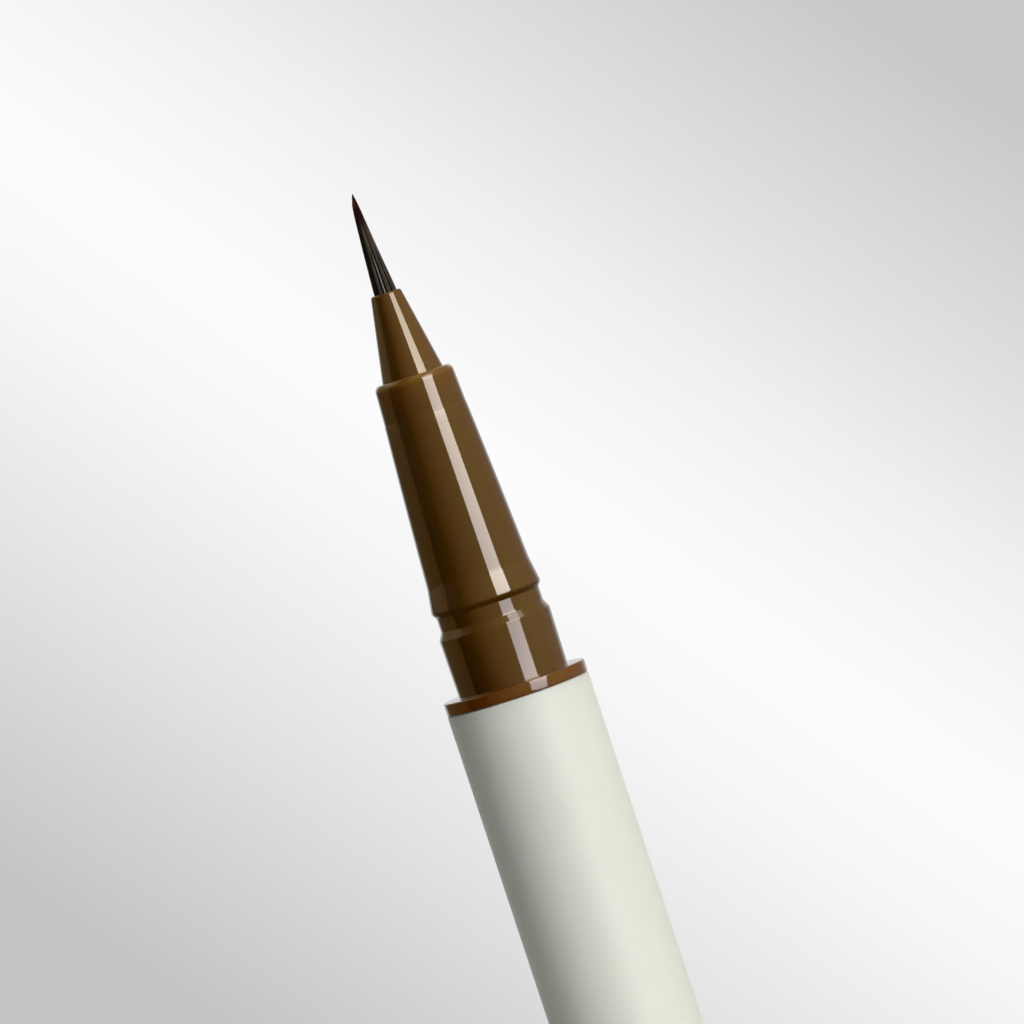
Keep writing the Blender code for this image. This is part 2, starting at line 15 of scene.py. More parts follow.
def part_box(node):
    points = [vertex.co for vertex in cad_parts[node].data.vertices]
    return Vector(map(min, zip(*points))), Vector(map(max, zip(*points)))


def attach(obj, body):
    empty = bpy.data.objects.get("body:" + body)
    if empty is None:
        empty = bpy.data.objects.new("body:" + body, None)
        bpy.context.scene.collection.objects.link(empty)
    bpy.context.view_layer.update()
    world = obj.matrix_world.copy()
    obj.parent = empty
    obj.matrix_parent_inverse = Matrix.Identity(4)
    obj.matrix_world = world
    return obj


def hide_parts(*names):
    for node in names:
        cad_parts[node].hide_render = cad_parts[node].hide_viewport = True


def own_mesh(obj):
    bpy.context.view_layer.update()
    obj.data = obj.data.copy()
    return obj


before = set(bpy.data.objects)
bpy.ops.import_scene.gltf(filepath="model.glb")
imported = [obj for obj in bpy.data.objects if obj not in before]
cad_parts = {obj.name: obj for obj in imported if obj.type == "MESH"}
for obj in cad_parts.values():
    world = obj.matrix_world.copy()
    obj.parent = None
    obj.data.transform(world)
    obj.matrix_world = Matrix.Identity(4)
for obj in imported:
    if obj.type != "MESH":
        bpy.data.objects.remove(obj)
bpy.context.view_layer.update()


# Cap crown.  The cap's end piece, moulded in cream plastic with a fine satin texture from
# the spark-eroded mould.  Its ring is pushed into the sleeve and backs the inner cap's spring.

arc_steps = 6
longest_fillet_share = 0.62


def filleted(corners):
    """Round off the corners (radius, height, fillet) of an outline with fine arcs."""
    outline = []
    for index, (radius, height, fillet) in enumerate(corners):
        corner = Vector((radius, height))
        before = Vector(corners[index - 1][:2]) - corner
        after = Vector(corners[(index + 1) % len(corners)][:2]) - corner
        if fillet == 0 or before.length == 0 or after.length == 0:
            outline.append(corner)
            continue
        half_angle = before.angle(after) / 2
        longest_reach = longest_fillet_share * min(before.length, after.length)
        reach = min(fillet / math.tan(half_angle), longest_reach)
        before.normalize()
        after.normalize()
        centre = corner + (before + after).normalized() * reach / math.cos(half_angle)
        start = corner + before * reach - centre
        end = corner + after * reach - centre
        sweep = math.pi - 2 * half_angle
        for step in range(arc_steps + 1):
            share = step / arc_steps
            start_share = math.sin(sweep * (1 - share)) / math.sin(sweep)
            end_share = math.sin(sweep * share) / math.sin(sweep)
            outline.append(centre + start * start_share + end * end_share)
    return outline


def level_ring(maker, radius, height, sides):
    """Points evenly round the pen's centre line, at one height."""
    return [maker.verts.new((radius * math.cos(side / sides * math.tau),
                             radius * math.sin(side / sides * math.tau), height))
            for side in range(sides)]


def bridged(maker, rings):
    """Join each ring of points to the next one with faces.

    A ring on the centre line repeats one point, and the faces that meet it are triangles.
    """
    for ring, following in zip(rings, rings[1:]):
        for side in range(len(ring)):
            beside = (side + 1) % len(ring)
            loop = []
            for vert in (ring[side], ring[beside], following[beside], following[side]):
                if vert not in loop:
                    loop.append(vert)
            if len(loop) > 2:
                maker.faces.new(loop)


facets_round = 144
crease_angle = math.radians(35)
on_centre_line = 1e-9


def turned(name, corners, material):
    """Spin an outline of (radius, height, fillet) round the pen's centre line.

    A tube's outline closes on itself, down the outer side and up the bore.  That of a piece
    with a floor starts and ends on the centre line.
    """
    outline = filleted(corners)
    maker = bmesh.new()
    rings = []
    for point in outline:
        if point.x < on_centre_line:
            rings.append([maker.verts.new((0, 0, point.y))] * facets_round)
        else:
            rings.append(level_ring(maker, point.x, point.y, facets_round))
    if outline[0].x > 0:
        rings.append(rings[0])
    bridged(maker, rings)
    bmesh.ops.recalc_face_normals(maker, faces=maker.faces)
    return keep_mesh(name, maker, material)


def keep_mesh(name, maker, material):
    """Make a piece of a finished mesh, smooth except at its creases."""
    mesh = bpy.data.meshes.new(name)
    maker.to_mesh(mesh)
    maker.free()
    mesh.shade_smooth()
    mesh.set_sharp_from_angle(angle=crease_angle)
    mesh.materials.append(material)
    piece = bpy.data.objects.new(name, mesh)
    bpy.context.scene.collection.objects.link(piece)
    return piece


def new_finish(name):
    """A material whose patterns are sized in metres on the piece itself."""
    finish = bpy.data.materials.new(name)
    finish.use_nodes = True
    nodes = finish.node_tree.nodes
    place = nodes.new("ShaderNodeTexCoord")
    return finish, nodes, finish.node_tree.links, nodes["Principled BSDF"], place.outputs["Object"]


def noise(nodes, links, place, grain, detail, stretch=None):
    """Noise with grains of the given size in metres, stretched along the pen if asked."""
    texture = nodes.new("ShaderNodeTexNoise")
    texture.inputs["Scale"].default_value = 1 / grain
    texture.inputs["Detail"].default_value = detail
    if stretch:
        mapping = nodes.new("ShaderNodeMapping")
        mapping.inputs["Scale"].default_value = (1, 1, 1 / stretch)
        links.new(place, mapping.inputs["Vector"])
        place = mapping.outputs["Vector"]
    links.new(place, texture.inputs["Vector"])
    return texture.outputs["Fac"]


def ranged(nodes, links, value, start, end, low=0.0, high=1.0, soft=False):
    """Map a value from the range of start to end to that of low to high, softly if asked."""
    span = nodes.new("ShaderNodeMapRange")
    if soft:
        span.interpolation_type = "SMOOTHSTEP"
    for name, bound in (("From Min", start), ("From Max", end), ("To Min", low), ("To Max", high)):
        span.inputs[name].default_value = bound
    links.new(value, span.inputs["Value"])
    return span.outputs["Result"]


noise_bounds = (0.3, 0.7)
tint_bounds = (0.35, 0.65)


def spread(nodes, links, value, low, high):
    """Map a noise between two values."""
    return ranged(nodes, links, value, *noise_bounds, low, high)


def tint(nodes, links, value, first, second):
    """Go from one colour to another with a noise."""
    ramp = nodes.new("ShaderNodeValToRGB")
    for mark, at, colour in zip(ramp.color_ramp.elements, tint_bounds, (first, second)):
        mark.position = at
        mark.color = (*colour, 1)
    links.new(value, ramp.inputs["Fac"])
    return ramp.outputs["Color"]


def relief(nodes, links, value, depth, under=None):
    """Bumps of the given depth in metres, laid over others if asked."""
    bump = nodes.new("ShaderNodeBump")
    bump.inputs["Distance"].default_value = depth
    links.new(value, bump.inputs["Height"])
    if under:
        links.new(under, bump.inputs["Normal"])
    return bump.outputs["Normal"]


cloud_size = 0.004
wave_size = 0.003


def moulded(name, first, second, rough, texture_grain, texture_depth, sink, specular_ior):
    """Moulded plastic: a little cloudy, with the mould's texture and its slow waviness."""
    finish, nodes, links, shader, place = new_finish(name)
    cloud = noise(nodes, links, place, cloud_size, detail=3.0, stretch=3.0)
    links.new(tint(nodes, links, cloud, first, second), shader.inputs["Base Color"])
    grain = noise(nodes, links, place, texture_grain, detail=3.0)
    links.new(spread(nodes, links, grain, *rough), shader.inputs["Roughness"])
    wave = noise(nodes, links, place, wave_size, detail=1.0, stretch=2.5)
    waviness = relief(nodes, links, wave, sink)
    links.new(relief(nodes, links, grain, texture_depth, under=waviness), shader.inputs["Normal"])
    shader.inputs["IOR"].default_value = specular_ior
    return finish, shader


cream_plastic, cream_shader = moulded(
    "cream_satin_plastic", (0.80, 0.815, 0.715), (0.825, 0.84, 0.745), rough=(0.44, 0.52),
    texture_grain=0.00009, texture_depth=0.0000016, sink=0.000002, specular_ior=1.46)
cream_shader.inputs["Subsurface Weight"].default_value = 0.7
cream_shader.inputs["Subsurface Radius"].default_value = (1.0, 0.95, 0.85)
cream_shader.inputs["Subsurface Scale"].default_value = 0.0018


def foot_and_top(node):
    """Heights of the lower and the upper end of one of the frame's solids."""
    low_corner, high_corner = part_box(node)
    return low_corner[2], high_corner[2]


sharp_edge = 0.00005
rim_edge = 0.00008
eased_edge = 0.0001
end_edge = 0.0005
seat_gap = 0.00005
barrel_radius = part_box("barrel")[1][0]
crown_top = foot_and_top("cap_sleeve")[0] - seat_gap
crown_ring_top = foot_and_top("cap_crown")[1]
crown_ring_radius = 0.00435
crown_ring_bore = 0.00385
gate_mark_radius = 0.0012
gate_mark_floor_radius = 0.0011
gate_mark_depth = 0.00008
crown = turned("cap_crown_moulding", [
    (0, crown_top, 0),
    (crown_ring_bore, crown_top, eased_edge),
    (crown_ring_bore, crown_ring_top, eased_edge),
    (crown_ring_radius, crown_ring_top, eased_edge),
    (crown_ring_radius, crown_top, 0),
    (barrel_radius, crown_top, rim_edge),
    (barrel_radius, 0, end_edge),
    (gate_mark_radius, 0, sharp_edge),
    (gate_mark_floor_radius, gate_mark_depth, sharp_edge),
    (0, gate_mark_depth, 0),
], cream_plastic)
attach(crown, "cap")
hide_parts("cap_crown")


# Cap sleeve.  A thin tube moulded in the same cream plastic, with a snap bead near its mouth
# that clicks into a groove, and a ledge inside that stops the inner cap.

sleeve_foot, cap_mouth = foot_and_top("cap_sleeve")
cap_bore = 0.0041
cap_rear_bore = 0.0044
ledge_below_mouth = 0.0173
cap_ledge = cap_mouth - ledge_below_mouth
bead_below_mouth = 0.0051
bead_height = cap_mouth - bead_below_mouth
bead_bore = 0.00391
bead_half_width = 0.0004
snap_edge = 0.00015
joint_edge = 0.00012
mouth_chamfer = 0.0003
sleeve = turned("cap_sleeve_tube", [
    (barrel_radius, cap_mouth, joint_edge),
    (barrel_radius, sleeve_foot, rim_edge),
    (cap_rear_bore, sleeve_foot, sharp_edge),
    (cap_rear_bore, cap_ledge, sharp_edge),
    (cap_bore, cap_ledge, sharp_edge),
    (cap_bore, bead_height - bead_half_width, eased_edge),
    (bead_bore, bead_height, snap_edge),
    (cap_bore, bead_height + bead_half_width, eased_edge),
    (cap_bore, cap_mouth - mouth_chamfer, eased_edge),
    (cap_bore + mouth_chamfer, cap_mouth, sharp_edge),
], cream_plastic)
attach(sleeve, "cap")
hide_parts("cap_sleeve")


# Inner cap.  A thin cup with a flange, moulded in white plastic.  It slides in the sleeve on
# its spring and seals on the pen's taper, so that the brush keeps moist.

white_plastic, _ = moulded(
    "white_inner_plastic", (0.76, 0.76, 0.74), (0.80, 0.80, 0.785), rough=(0.30, 0.38),
    texture_grain=0.00012, texture_depth=0.000001, sink=0.000002, specular_ior=1.49)

inner_foot, inner_mouth = foot_and_top("inner_cap")
inner_radius = 0.0036
inner_bore = 0.0031
inner_floor = inner_foot + 0.0008
inner_flange_radius = 0.0043
inner_flange_thickness = 0.0008
inner_flange_top = cap_ledge - seat_gap
inner_flange_foot = inner_flange_top - inner_flange_thickness
round_edge = 0.0003
inner_cup = turned("inner_cap_cup", [
    (0, inner_floor, 0),
    (inner_bore, inner_floor, round_edge),
    (inner_bore, inner_mouth - mouth_chamfer, eased_edge),
    (inner_bore + mouth_chamfer, inner_mouth, sharp_edge),
    (inner_radius, inner_mouth, rim_edge),
    (inner_radius, inner_flange_top, eased_edge),
    (inner_flange_radius, inner_flange_top, rim_edge),
    (inner_flange_radius, inner_flange_foot, rim_edge),
    (inner_radius, inner_flange_foot, eased_edge),
    (inner_radius, inner_foot, round_edge),
    (0, inner_foot, 0),
], white_plastic)
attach(inner_cup, "inner_cap")
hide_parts("inner_cap")


# Inner cap's spring.  Stainless wire of 0.4 mm in nine turns, the end turns wound closer.
# It stands on the crown's ring and shortens as the inner cap is pushed in.

steel, nodes, links, shader, place = new_finish("drawn_steel")
draw_marks = noise(nodes, links, place, grain=0.00006, detail=3.0, stretch=0.3)
links.new(tint(nodes, links, draw_marks, (0.52, 0.52, 0.51), (0.63, 0.63, 0.62)),
          shader.inputs["Base Color"])
links.new(spread(nodes, links, draw_marks, low=0.18, high=0.30), shader.inputs["Roughness"])
links.new(relief(nodes, links, draw_marks, depth=0.000001), shader.inputs["Normal"])
shader.inputs["Metallic"].default_value = 1

wire_radius = 0.0002
wire_sides = 10
spring_foot, spring_head = foot_and_top("inner_cap_spring")
spring_radius = (inner_radius + cap_rear_bore) / 2
spring_turns = 9
end_pitch = 0.00095
steps_a_turn = 36


def coil_point(turns):
    """The wire's middle after some turns, the first and last of which are wound closer."""
    open_turns = spring_turns - 2
    rise = spring_head - spring_foot - 2 * wire_radius
    open_pitch = (rise - 2 * end_pitch) / open_turns
    closed = min(turns, 1) + max(turns - 1 - open_turns, 0)
    height = spring_foot + wire_radius + closed * end_pitch + (turns - closed) * open_pitch
    angle = turns * math.tau
    return Vector((spring_radius * math.cos(angle), spring_radius * math.sin(angle), height))


def strand_ring(maker, centre, radius, aside, across, sides):
    """Points round a wire or filament, in the plane of two directions."""
    return [maker.verts.new(centre + radius * (aside * math.cos(turn) + across * math.sin(turn)))
            for turn in (side / sides * math.tau for side in range(sides))]


wire = bmesh.new()
rings = []
for step in range(spring_turns * steps_a_turn + 1):
    point = coil_point(step / steps_a_turn)
    outward = Vector((point.x, point.y, 0)).normalized()
    rings.append(strand_ring(wire, point, wire_radius, outward, Vector((0, 0, 1)), wire_sides))
bridged(wire, rings)
wire.faces.new(rings[0])
wire.faces.new(rings[-1])
bmesh.ops.recalc_face_normals(wire, faces=wire.faces)
spring = keep_mesh("inner_cap_coil", wire, steel)
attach(spring, "cap")
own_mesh(spring)
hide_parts("inner_cap_spring")


# Tail plug.  Moulded in cream plastic and pushed into the barrel's foot, with a flange and a
# spigot that has the same snap groove as the pen's front.

crest_radius, crest_height, crest_edge = 0.00388, 0.00596, 0.00035
groove_radius, groove_top, groove_foot = 0.00363, 0.00563, 0.00465
land_radius, land_top = 0.00392, 0.00410
land_foot_radius = 0.00386


def snap_groove(shoulder, side):
    """Corners of the snap groove, from its crest to its foot at the shoulder."""
    return [
        (crest_radius, shoulder + side * crest_height, crest_edge),
        (groove_radius, shoulder + side * groove_top, joint_edge),
        (groove_radius, shoulder + side * groove_foot, round_edge),
        (land_radius, shoulder + side * land_top, snap_edge),
        (land_foot_radius, shoulder, sharp_edge),
    ]


def notched(piece, count, first_turn, width, floor, foot, top):
    """Press flats or notches into a turned piece's outer wall, down to a floor."""
    for index in range(count):
        turn = first_turn + math.tau * index / count
        outward = Vector((math.cos(turn), math.sin(turn)))
        for vert in piece.data.vertices:
            along = vert.co.xy.dot(outward)
            beside = abs(vert.co.xy.cross(outward))
            if foot < vert.co.z < top and along > floor and beside < width / 2:
                vert.co.xy -= outward * (along - floor)


spigot_end, plug_top = foot_and_top("tail_plug")
barrel_foot, barrel_top = foot_and_top("barrel")
tail_shoulder = cap_mouth + seat_gap
spigot_bore = 0.0029
spigot_floor = spigot_end + 0.0010
spigot_edge = 0.0004
plug_bore = 0.00335
plug_radius = 0.00415
plug_collar = 0.0006
collar_step = 0.00005
flat_depth = 0.00025
plug_flats = {"count": 6, "first_turn": 0, "width": 0.0024, "floor": plug_radius - flat_depth}
margin = 0.00001
tail = turned("tail_plug_moulding", [
    (0, spigot_floor, 0),
    (spigot_bore, spigot_floor, eased_edge),
    (spigot_bore, tail_shoulder, eased_edge),
    (plug_bore, barrel_foot, eased_edge),
    (plug_bore, plug_top, sharp_edge),
    (plug_radius, plug_top, round_edge),
    (plug_radius, barrel_foot + plug_collar, 0),
    (plug_radius, barrel_foot + plug_collar - collar_step, 0),
    (plug_radius, barrel_foot - seat_gap, 0),
    (barrel_radius, barrel_foot - seat_gap, joint_edge),
    (barrel_radius, tail_shoulder, joint_edge),
    *reversed(snap_groove(tail_shoulder, -1)),
    (groove_radius, spigot_end, spigot_edge),
    (0, spigot_end, 0),
], cream_plastic)
notched(tail, **plug_flats, foot=barrel_foot + plug_collar - margin, top=plug_top + margin)
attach(tail, "pen")
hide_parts("tail_plug")


# Barrel.  A plain tube moulded in cream plastic, with the same satin skin as the cap.  The
# front section and the tail plug are pushed into its two ends.

barrel_bore = 0.0042
barrel = turned("barrel_tube", [
    (barrel_radius, barrel_top, eased_edge),
    (barrel_radius, barrel_foot, joint_edge),
    (barrel_bore, barrel_foot, sharp_edge),
    (barrel_bore, barrel_top, sharp_edge),
], cream_plastic)
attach(barrel, "pen")
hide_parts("barrel")


# Ink tank.  A milky blow-moulded tube that holds the thin liquid, open at the top where it
# is pushed on the front section's skirt.

milky_plastic, milky_shader = moulded(
    "milky_tank_plastic", (0.60, 0.60, 0.58), (0.66, 0.66, 0.64), rough=(0.20, 0.28),
    texture_grain=0.0002, texture_depth=0.000001, sink=0.000004, specular_ior=1.49)
milky_shader.inputs["Transmission Weight"].default_value = 0.35
milky_shader.inputs["Subsurface Weight"].default_value = 0.3
milky_shader.inputs["Subsurface Scale"].default_value = 0.001


def dress(node, finish):
    """Give a node of the frame its finish."""
    solid = bpy.data.objects[node]
    solid.data.materials.clear()
    solid.data.materials.append(finish)


dress("ink_tank", milky_plastic)


# Mixing ball.  A ground ball of stainless steel, loose in the tank, which stirs the pigment
# when the pen is shaken.

dress("mixing_ball", steel)


# Relay core.  A rod of bonded fibres, stained by the liquid, which it draws from the tank up
# to the brush.  It is pushed through the collector.

fibre, nodes, links, shader, place = new_finish("bonded_fibre")
strands = noise(nodes, links, place, grain=0.00005, detail=4.0, stretch=12.0)
links.new(tint(nodes, links, strands, (0.20, 0.10, 0.05), (0.45, 0.33, 0.24)),
          shader.inputs["Base Color"])
links.new(spread(nodes, links, strands, low=0.7, high=0.9), shader.inputs["Roughness"])
links.new(relief(nodes, links, strands, depth=0.00001), shader.inputs["Normal"])
dress("relay_core", fibre)


# Collector and brush retainer.  White moulded pieces: the finned regulator round the core,
# and the tube that keeps the brush's flange on its seat.

dress("collector", white_plastic)
dress("brush_retainer", white_plastic)


# Front section.  Moulded in dark brown plastic and polished, tapering up from a snap groove to
# a rounded shoulder, with a thin flange that covers the barrel's rim.  Its rear is pushed into
# the barrel.  The flange and the shoulder's rim are painted a redder brown, a painted glow of
# light coming through where the plastic is thin, and the rim's lip carries a painted highlight.

section_rear, section_top = foot_and_top("front_section")
shoulder_radius = 0.00270
shoulder_height = 0.0218
flare_radius = 0.00361
flare_height = 0.0077
flange_thickness = 0.00085
flange_top = section_top - shoulder_height
flange_foot = flange_top - flange_thickness
plug_length = 0.0050
section_step = flange_foot - plug_length
skirt_radius = 0.00335
skirt_bore = 0.0027
cone_hole = 0.00219
cone_seat_depth = 0.0080
nozzle_seat = section_top - cone_seat_depth


def split(nodes, links, vector):
    """The X, Y and Z of a place or direction."""
    parts = nodes.new("ShaderNodeSeparateXYZ")
    links.new(vector, parts.inputs["Vector"])
    return parts.outputs


def graded(nodes, links, value, start, end, stops):
    """A colour that follows stops (value, colour) between start and end."""
    ramp = nodes.new("ShaderNodeValToRGB")
    marks = ramp.color_ramp.elements
    while len(marks) < len(stops):
        marks.new(0.5)
    for mark, (at, colour) in zip(marks, stops):
        mark.position = (at - start) / (end - start)
        mark.color = (*colour, 1) if isinstance(colour, tuple) else (colour, colour, colour, 1)
    links.new(ranged(nodes, links, value, start, end), ramp.inputs["Fac"])
    return ramp.outputs["Color"]


def blended(nodes, links, factor, first, second, kind="MIX"):
    """Mix, multiply or add two colours, each a fixed one or one that a node gives."""
    mix = nodes.new("ShaderNodeMix")
    mix.data_type = "RGBA"
    mix.blend_type = kind
    for name, value in (("Factor", factor), ("A", first), ("B", second)):
        socket = next(socket for socket in mix.inputs if socket.name == name and socket.enabled)
        if isinstance(value, float):
            socket.default_value = value
        elif isinstance(value, tuple):
            socket.default_value = (*value, 1)
        else:
            links.new(value, socket)
    return next(socket for socket in mix.outputs if socket.enabled)


brown_plastic, brown_shader = moulded(
    "brown_gloss_plastic", (0.060, 0.0225, 0.0008), (0.071, 0.0275, 0.0014), rough=(0.05, 0.08),
    texture_grain=0.0003, texture_depth=0.0000002, sink=0.0000035, specular_ior=1.50)
brown_shader.inputs["Specular IOR Level"].default_value = 1.0
brown_shader.inputs["Specular Tint"].default_value = (1.0, 0.90, 0.84, 1)
brown_shader.inputs["Subsurface Weight"].default_value = 0.10
brown_shader.inputs["Subsurface Radius"].default_value = (1.0, 0.35, 0.08)
brown_shader.inputs["Subsurface Scale"].default_value = 0.0006

# Painted glow: a redder brown on the thin flange and the shoulder's rim, as if light came through
# them.
painted_glow_brown = (0.118, 0.033, 0.002)
# Painted highlight: a lighter brown on the shoulder's lip, standing in for a reflection of light from
# above.
painted_rim_highlight_brown = (0.132, 0.054, 0.003)
nodes, links = brown_plastic.node_tree.nodes, brown_plastic.node_tree.links
height = split(nodes, links, nodes.new("ShaderNodeTexCoord").outputs["Object"])["Z"]
# Where the painted glow lies, by height.
painted_glow = graded(nodes, links, height, flange_foot, section_top, [
    (flange_foot, 1.0), (flange_top - 0.0001, 0.9), (flange_top + 0.0001, 0.0),
    (section_top - 0.0022, 0.0), (section_top - 0.0006, 0.50), (section_top, 0.10)])
# Where the painted highlight on the lip lies, by height.
painted_rim_highlight = graded(nodes, links, height, section_top - 0.0006, section_top + 0.00005, [
    (section_top - 0.0006, 0.0), (section_top - 0.0003, 1.0), (section_top, 1.0),
    (section_top + 0.00005, 0.0)])
brown = brown_shader.inputs["Base Color"].links[0].from_socket
brown = blended(nodes, links, painted_glow, brown, painted_glow_brown)
brown = blended(nodes, links, painted_rim_highlight, brown, painted_rim_highlight_brown)
links.new(brown, brown_shader.inputs["Base Color"])

fine_edge = 0.00002
fine_step = 0.00002
taper_steps = 24
taper_bulge = 0.000040
flare_fillet = 0.0040
seam_height = 0.01907
seam_step = 0.000018
seam_lip = 0.000010
seam_edge = 0.00003
slope_above_seam = 0.050
rim_inset = 0.00022
rim_height = 0.00028
rim_fillet = 0.00024
shoulder_fillet = 0.00045


def grip_taper():
    """Corners of the long taper, from the shoulder down to the flare.

    It bulges a little, has a fine step where two parts of the mould meet, and is straight
    above that.
    """
    length = shoulder_height - flare_height

    def bulging(height):
        share = (shoulder_height - height) / length
        swell = taper_bulge * 4 * share * (1 - share)
        return shoulder_radius + (flare_radius - shoulder_radius) * share + swell

    def above_seam(height):
        return bulging(seam_height) - seam_step - slope_above_seam * (height - seam_height)

    seam = flange_top + seam_height
    corners = [
        (above_seam(shoulder_height) - rim_inset, section_top, rim_fillet),
        (above_seam(shoulder_height - rim_height), section_top - rim_height, shoulder_fillet)]
    for step in range(1, taper_steps):
        height = shoulder_height - length * step / taper_steps
        radius = above_seam(height) if height > seam_height else bulging(height)
        corners.append((radius, flange_top + height, 0))
        if height > seam_height > height - length / taper_steps:
            corners.append((above_seam(seam_height), seam + fine_step, fine_edge))
            corners.append((bulging(seam_height) - seam_lip, seam - fine_step, seam_edge))
    corners.append((flare_radius, flange_top + flare_height, flare_fillet))
    return corners


section = turned("front_section_moulding", [
    *grip_taper(),
    *snap_groove(flange_top, 1),
    (barrel_radius, flange_top, eased_edge),
    (barrel_radius, flange_foot, rim_edge),
    (plug_radius, flange_foot, 0),
    (plug_radius, flange_foot - plug_collar + collar_step, 0),
    (plug_radius, flange_foot - plug_collar, 0),
    (plug_radius, section_step, round_edge),
    (skirt_radius, section_step, 0),
    (skirt_radius, section_rear, round_edge),
    (skirt_bore, section_rear, 0),
    (skirt_bore, nozzle_seat, 0),
    (cone_hole, nozzle_seat, 0),
    (cone_hole, section_top - fine_step, fine_edge),
], brown_plastic)
notched(section, **plug_flats, foot=section_step - margin, top=flange_foot - plug_collar + margin)
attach(section, "pen")
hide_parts("front_section")


# Nozzle cone.  A separate cone of the same brown plastic, pushed in from behind, whose
# flange rests on a seat inside the section.  A fine dark gap shows round its foot.

nozzle_rear, nozzle_tip = foot_and_top("nozzle_cone")
cone_end_radius = 0.00099
cone_rim_radius = 0.00108
cone_rim_edge = 0.00016
cone_foot_radius = 0.00214
cone_flange_radius = 0.00265
nozzle_hole = 0.0009
nozzle_bore = 0.0013
brush_seat_depth = 0.0052
brush_seat = nozzle_tip - brush_seat_depth
hole_rim_drop = 0.00006
hole_edge = 0.00004
air_notch_width = 0.0006
air_notch_floor = 0.00225
nozzle = turned("nozzle_cone_moulding", [
    (cone_end_radius, nozzle_tip - fine_step, rim_edge),
    (cone_rim_radius, nozzle_tip - cone_rim_edge, cone_rim_edge),
    (cone_foot_radius, section_top, fine_edge),
    (cone_foot_radius, nozzle_seat - seat_gap, 0),
    (cone_flange_radius, nozzle_seat - seat_gap, sharp_edge),
    (cone_flange_radius, nozzle_rear, sharp_edge),
    (nozzle_bore, nozzle_rear, 0),
    (nozzle_bore, brush_seat, 0),
    (nozzle_hole, brush_seat, 0),
    (nozzle_hole, nozzle_tip - hole_rim_drop, hole_edge),
], brown_plastic)
notched(nozzle, count=2, first_turn=math.pi / 2, width=air_notch_width, floor=air_notch_floor,
        foot=nozzle_rear - margin, top=nozzle_seat)
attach(nozzle, "pen")
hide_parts("nozzle_cone")


# Brush.  Some hundreds of tapered nylon filaments, near black, fused at the root into a stem
# that the nozzle holds.  They lie in locks with furrows between them.  The lighter locks are
# painted sheen and a painted highlight streak where the softbox lights the hairs, and the
# filaments in the furrows are painted dark as shade.  The wet ends draw together into one dark
# red point, with a painted red glint on one side.

brush_rear, brush_tip = foot_and_top("brush_bristles")
wet_end = (0.0031, 0.0016)
# Painted highlight: a brighter red glint painted on one side of the point, near its end.
painted_glint_end = (0.00115, 0.00060)
painted_glint_side = (-0.00002, -0.00022)
wet_red = (0.016, 0.0014, 0.0030)
painted_glint_red = (0.19, 0.010, 0.034)


def inked_hair(name, first, second, top_first, top_second, fade_start, fade_end):
    """Nylon filaments in two tones near the root, which fade to two others higher up.

    Ink has soaked the ends dark red, and one side of the point carries a painted red glint.
    """
    finish, nodes, links, shader, place = new_finish(name)
    tones = noise(nodes, links, place, grain=0.00022, detail=2.0, stretch=40.0)
    spot = split(nodes, links, place)

    def toward_tip(start, end):
        """A soft rise from 0 to 1 between two distances from the brush's tip."""
        return ranged(nodes, links, spot["Z"], brush_tip - start, brush_tip - end, soft=True)

    colour = blended(nodes, links, toward_tip(fade_start, fade_end),
                     tint(nodes, links, tones, first, second),
                     tint(nodes, links, tones, top_first, top_second))
    colour = blended(nodes, links, toward_tip(*wet_end), colour, wet_red)
    painted_glint = nodes.new("ShaderNodeMath")
    painted_glint.operation = "MULTIPLY"
    links.new(toward_tip(*painted_glint_end), painted_glint.inputs[0])
    links.new(ranged(nodes, links, spot["X"], *painted_glint_side, soft=True), painted_glint.inputs[1])
    links.new(blended(nodes, links, painted_glint.outputs[0], colour, painted_glint_red),
              shader.inputs["Base Color"])
    streaks = noise(nodes, links, place, grain=0.00005, detail=3.0, stretch=25.0)
    links.new(spread(nodes, links, streaks, low=0.24, high=0.38), shader.inputs["Roughness"])
    links.new(relief(nodes, links, streaks, depth=0.000003), shader.inputs["Normal"])
    shader.inputs["IOR"].default_value = 1.53
    shader.inputs["Specular IOR Level"].default_value = 0.20
    return finish


# Lit and shaded copies of one dark nylon: the lighter finishes are painted sheen and highlight, the
# darker ones painted shade.
hairs = [
    inked_hair("soaked_filaments", (0.0005, 0.0004, 0.0004), (0.0060, 0.0046, 0.0040),
               (0.0005, 0.0004, 0.0004), (0.0060, 0.0046, 0.0040), fade_start=0.0040, fade_end=0.0030),
    inked_hair("painted_sheen_filaments", (0.034, 0.029, 0.025), (0.125, 0.108, 0.093),
               (0.054, 0.043, 0.035), (0.140, 0.115, 0.094), fade_start=0.0050, fade_end=0.0040),
    inked_hair("painted_highlight_filaments", (0.20, 0.185, 0.165), (0.36, 0.335, 0.30),
               (0.045, 0.036, 0.029), (0.120, 0.098, 0.080), fade_start=0.0052, fade_end=0.0042),
    inked_hair("painted_root_sheen_filaments", (0.034, 0.029, 0.025), (0.125, 0.108, 0.093),
               (0.010, 0.008, 0.007), (0.045, 0.037, 0.031), fade_start=0.0056, fade_end=0.0046),
    inked_hair("painted_shade_and_sheen_filaments", (0.0005, 0.0004, 0.0004), (0.012, 0.010, 0.009),
               (0.052, 0.043, 0.036), (0.142, 0.120, 0.101), fade_start=0.0052, fade_end=0.0032),
]
# The last two sink into furrows, and the dark finish they take there is painted shade.
soaked, painted_sheen, painted_highlight_streak, painted_root_sheen, painted_shade_and_sheen, furrow, parting = range(7)
sunken_painted_shade = {furrow: soaked, parting: painted_shade_and_sheen}

